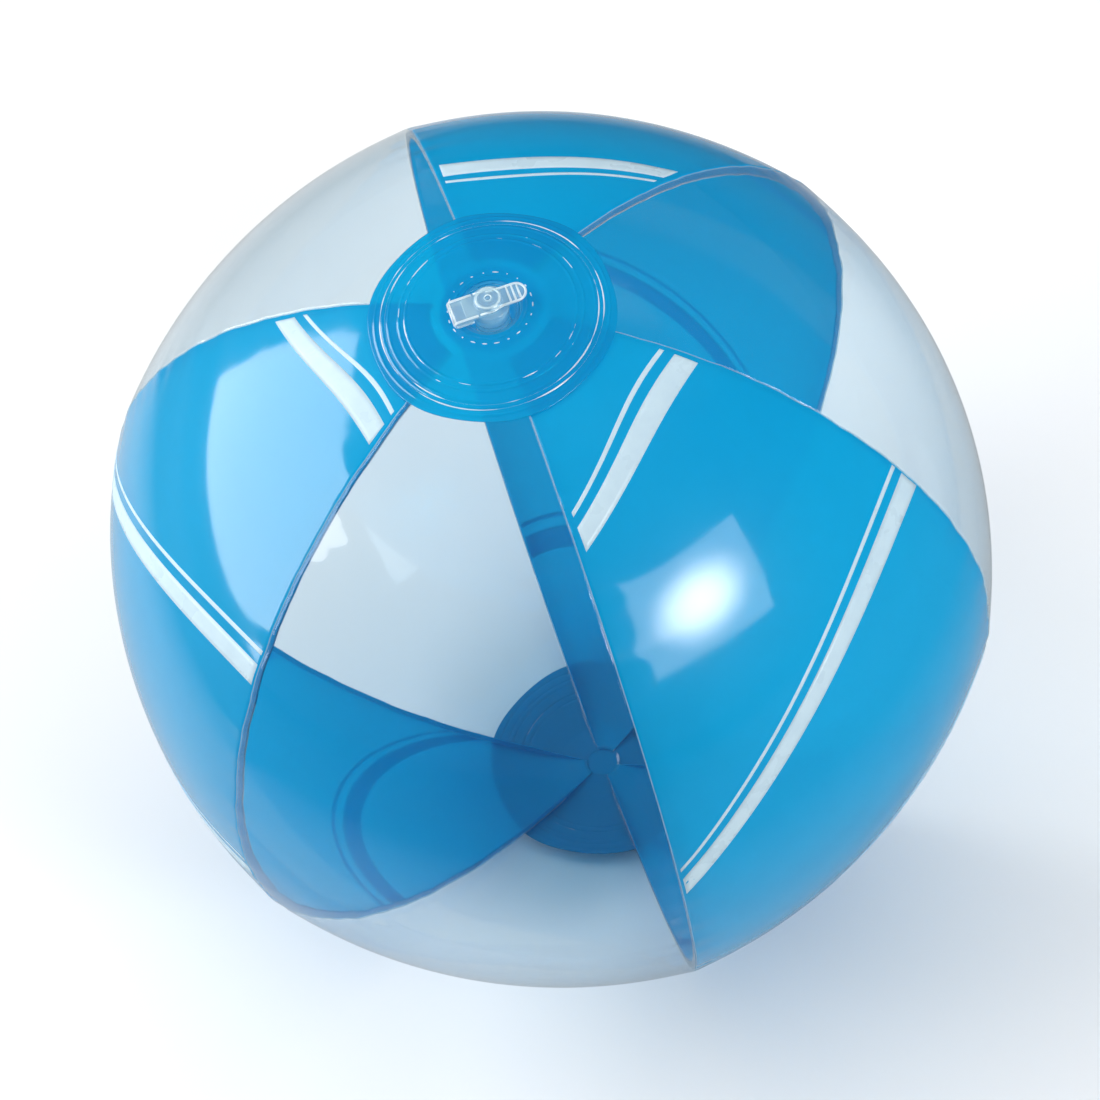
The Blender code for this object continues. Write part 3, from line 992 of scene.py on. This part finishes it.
def sweepStrap(form, section):
    # carries a closed section of (y, outward) points along the strap
    rings = [[form.verts.new((x + outX * n, y, z + outZ * n)) for y, n in section]
             for x, z, outX, outZ in strapPath()]
    count = len(section)
    for near, far in zip(rings, rings[1:]):
        for step in range(count):
            after = (step + 1) % count
            form.faces.new((near[step], near[after], far[after], far[step]))
    form.faces.new(rings[0])
    form.faces.new(rings[-1])


def makeStrap():
    half, thick = valve["strapWidth"] / 2, valve["strapThickness"] / 2
    rim = 0.00055
    section = arc(half - thick, 0, thick, 90, -90, 6) + arc(-(half - thick), 0, thick, -90, -270, 6)
    section += [(-(half - thick) + rim, thick * 0.45), (half - thick - rim, thick * 0.45)]
    form = bmesh.new()
    sweepStrap(form, section)
    bmesh.ops.recalc_face_normals(form, faces=form.faces)
    return form


def makeStrapRibs():
    # raised border along both edges of the strap, and the swollen bend
    form = bmesh.new()
    half, thick = valve["strapWidth"] / 2, valve["strapThickness"] / 2
    bead = 0.00042
    for way in (-1, 1):
        middle = (half - valve["ribInset"]) * way
        sweepStrap(form, arc(middle, thick - bead * 0.6, bead, 0, 330, 11))
    foldEnd = foldX - valve["foldRadius"] - thick
    for x, z, thickness in ((foldEnd + 0.0001, foldZ + 0.0001, 0.00040),
                            (foldEnd + 0.0006, foldZ + 0.0010, 0.00030)):
        addBead(form, [(x, -half + 0.0004, z), (x, half - 0.0004, z)], thickness)
    bmesh.ops.recalc_face_normals(form, faces=form.faces)
    return form


def makeFlap():
    # soft disc that shuts the stem's foot, with a thicker middle
    radius = flapHigh[0]
    top, low = flapHigh[2], flapLow[2]
    edge = (top - low) / 2 - 0.00002
    profile = [(0, top)] + arc(radius - edge, top - edge, edge, 90, -90, 8)
    profile += arc(0.0016, low, 0.0003, -10, -90, 4) + [(0, low - 0.0003)]
    return lathe(profile, 64, False)


finishPiece("flange_ring", makeFlange(), membraneVinyl, "ball", "clear_vinyl", "valve_flange")
skirt = finishPiece("skirt_membrane", makeSkirt(), membraneVinyl, None, "clear_vinyl", "valve_skirt")
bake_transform(skirt)
finishPiece("stem_tube", makeStem(), clearVinyl, "valve", "clear_vinyl", "valve_stem")
plug = finishPiece("stopper_plug", makePlug(), clearVinyl, None, "clear_vinyl", "valve_plug")
remeshPiece(plug, 0.00011, 5)
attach(plug, "plug")
strap = finishPiece("stopper_strap", makeStrap(), clearVinyl, None, "clear_vinyl", "plug_strap")
edges = finishPiece("strap_ribs", makeStrapRibs(), ribVinyl, None, "clear_vinyl")
for band in (strap, edges):
    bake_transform(band)
finishPiece("stopper_ribs", makeRibs(), ribVinyl, "plug", "clear_vinyl")
finishPiece("air_flap", makeFlap(), clearVinyl, "flap", "clear_vinyl", "check_flap")
print("valve made")


# floor, light and camera

studio = {
    "distance": 1.85,
    "azimuth": -5.76,
    "elevation": 57.85,
    "roll": -13.9,
    "fill": 0.80,           # ball's share of the frame
    "sensor": 36.0,
}
centre = Vector((0, 0, ball["centreZ"]))
azimuth, elevation = math.radians(studio["azimuth"]), math.radians(studio["elevation"])
back = Vector((math.sin(azimuth) * math.cos(elevation), -math.cos(azimuth) * math.cos(elevation),
               math.sin(elevation)))
level = Vector((0, 0, 1)).cross(back).normalized()
upright = back.cross(level)
roll = math.radians(studio["roll"])
rightWay = level * math.cos(roll) + upright * math.sin(roll)
upWay = upright * math.cos(roll) - level * math.sin(roll)


def orient(thing, right, up, behind):
    basis = [[right[i], up[i], behind[i]] for i in range(3)]
    thing.rotation_euler = Matrix(basis).to_euler()


def makeCamera():
    data = bpy.data.cameras.new("camera")
    view = bpy.data.objects.new("camera", data)
    bpy.context.scene.collection.objects.link(view)
    view.location = centre + back * studio["distance"]
    orient(view, rightWay, upWay, back)
    size = ball["radius"] / math.sqrt(studio["distance"] ** 2 - ball["radius"] ** 2)
    data.sensor_width = studio["sensor"]
    data.lens = studio["sensor"] / 2 * studio["fill"] / size
    data.clip_start = 0.05
    bpy.context.scene.camera = view


def softbox(name, towards, distance, size, radiance, turn):
    # an area light; towards counts from the ball to the right, up and back to the camera
    way = (rightWay * towards[0] + upWay * towards[1] + back * towards[2]).normalized()
    data = bpy.data.lights.new(name, "AREA")
    data.shape = "RECTANGLE"
    data.size, data.size_y = size
    data.energy = radiance * size[0] * size[1] * math.pi
    lamp = bpy.data.objects.new(name, data)
    bpy.context.scene.collection.objects.link(lamp)
    lamp.location = centre + way * distance
    right = Vector((0, 0, 1)).cross(way).normalized()
    up = way.cross(right)
    angle = math.radians(turn)
    orient(lamp, right * math.cos(angle) + up * math.sin(angle),
           up * math.cos(angle) - right * math.sin(angle), way)
    return lamp


def hotSpot(lamp, gain, width):
    # the bulb behind the softbox's cloth shows as a brighter middle
    lamp.data.use_nodes = True
    tree = lamp.data.node_tree
    place = tree.nodes.new("ShaderNodeNewGeometry")
    off = tree.nodes.new("ShaderNodeVectorMath")
    off.operation = "DISTANCE"
    off.inputs[1].default_value = (0.5, 0.5, 0.0)
    tree.links.new(place.outputs["Parametric"], off.inputs[0])
    fade = tree.nodes.new("ShaderNodeMapRange")
    fade.interpolation_type = "SMOOTHERSTEP"
    for label, value in (("From Min", 0.0), ("From Max", width * 2), ("To Min", 1 + gain),
                         ("To Max", 1.0)):
        fade.inputs[label].default_value = value
    tree.links.new(off.outputs["Value"], fade.inputs["Value"])
    tree.links.new(fade.outputs[0], tree.nodes["Emission"].inputs["Strength"])


surround = {"colour": (0.97, 0.985, 1.0, 1), "asLight": 0.06, "seen": 0.90}
paper = {
    "half": 6,
    "middle": (-0.14, 0.10, 0),     # the distances below count from here
    "dimFrom": 0.26,
    "dimTo": 0.50,
    "nearDim": 0.4,
    "fadeFrom": 0.60,
    "fadeTo": 1.00,
    "colour": (0.88, 0.885, 0.89, 1),
    "dimColour": (0.05, 0.06, 0.07, 1),
}


def makeWorld():
    # pale where the camera sees it, dim as a light
    world = bpy.data.worlds.new("studio")
    bpy.context.scene.world = world
    world.use_nodes = True
    tree = world.node_tree
    shade = tree.nodes["Background"]
    shade.inputs["Color"].default_value = surround["colour"]
    ray = tree.nodes.new("ShaderNodeLightPath").outputs
    strength = spread(tree, ray["Is Camera Ray"], 0, 1, surround["asLight"], surround["seen"])
    tree.links.new(strength, shade.inputs["Strength"])


def makeFloor():
    form = bmesh.new()
    bmesh.ops.create_grid(form, x_segments=8, y_segments=8, size=paper["half"])
    mesh = bpy.data.meshes.new("floor")
    form.to_mesh(mesh)
    form.free()
    floor = bpy.data.objects.new("floor", mesh)
    bpy.context.scene.collection.objects.link(floor)
    material, tree, nodes = startMaterial("paperWhite")
    shader = nodes.new("ShaderNodeBsdfPrincipled")
    setSockets(shader, {"Roughness": 0.9, "Specular IOR Level": 0.1})
    # in reflections the sheet is dimmer, and darkest from half a metre away
    place = nodes.new("ShaderNodeTexCoord")
    away = nodes.new("ShaderNodeVectorMath")
    away.operation = "DISTANCE"
    away.inputs[1].default_value = paper["middle"]
    tree.links.new(place.outputs["Object"], away.inputs[0])
    far = away.outputs["Value"]
    ray = nodes.new("ShaderNodeLightPath").outputs
    dim = spread(tree, far, paper["dimFrom"], paper["dimTo"], paper["nearDim"], 1)
    tone = nodes.new("ShaderNodeMix")
    tone.data_type = "RGBA"
    tone.inputs["A"].default_value = paper["colour"]
    tone.inputs["B"].default_value = paper["dimColour"]
    tree.links.new(productOf(tree, dim, ray["Is Glossy Ray"]), tone.inputs["Factor"])
    tree.links.new(tone.outputs["Result"], shader.inputs["Base Color"])
    # far off, the sheet passes into the pale surroundings
    fade = spread(tree, far, paper["fadeFrom"], paper["fadeTo"], 0, 1)
    sheet = mixShaders(tree, productOf(tree, fade, ray["Is Camera Ray"]), shader.outputs[0],
                       nodes.new("ShaderNodeBsdfTransparent").outputs[0])
    done = nodes.new("ShaderNodeOutputMaterial")
    tree.links.new(sheet, done.inputs["Surface"])
    mesh.materials.append(material)


makeCamera()
softbox("leftBox", (-0.94, 0.25, 0.23), 1.5, (1.5, 1.2), 5.0, 0)
hotSpot(softbox("rightBox", (0.61, -0.17, 0.74), 1.5, (0.64, 0.82), 2.9, 76), 7.0, 0.26)
overhead = softbox("overhead", (0.0, 0.80, 0.60), 2.0, (3.0, 3.0), 1.35, 0)
overhead.visible_glossy = False
makeWorld()
makeFloor()
scene = bpy.context.scene
scene.cycles.max_bounces = 16
scene.cycles.transparent_max_bounces = 48
scene.view_settings.view_transform = "Standard"
scene.view_settings.exposure = 0.0
print("studio made")
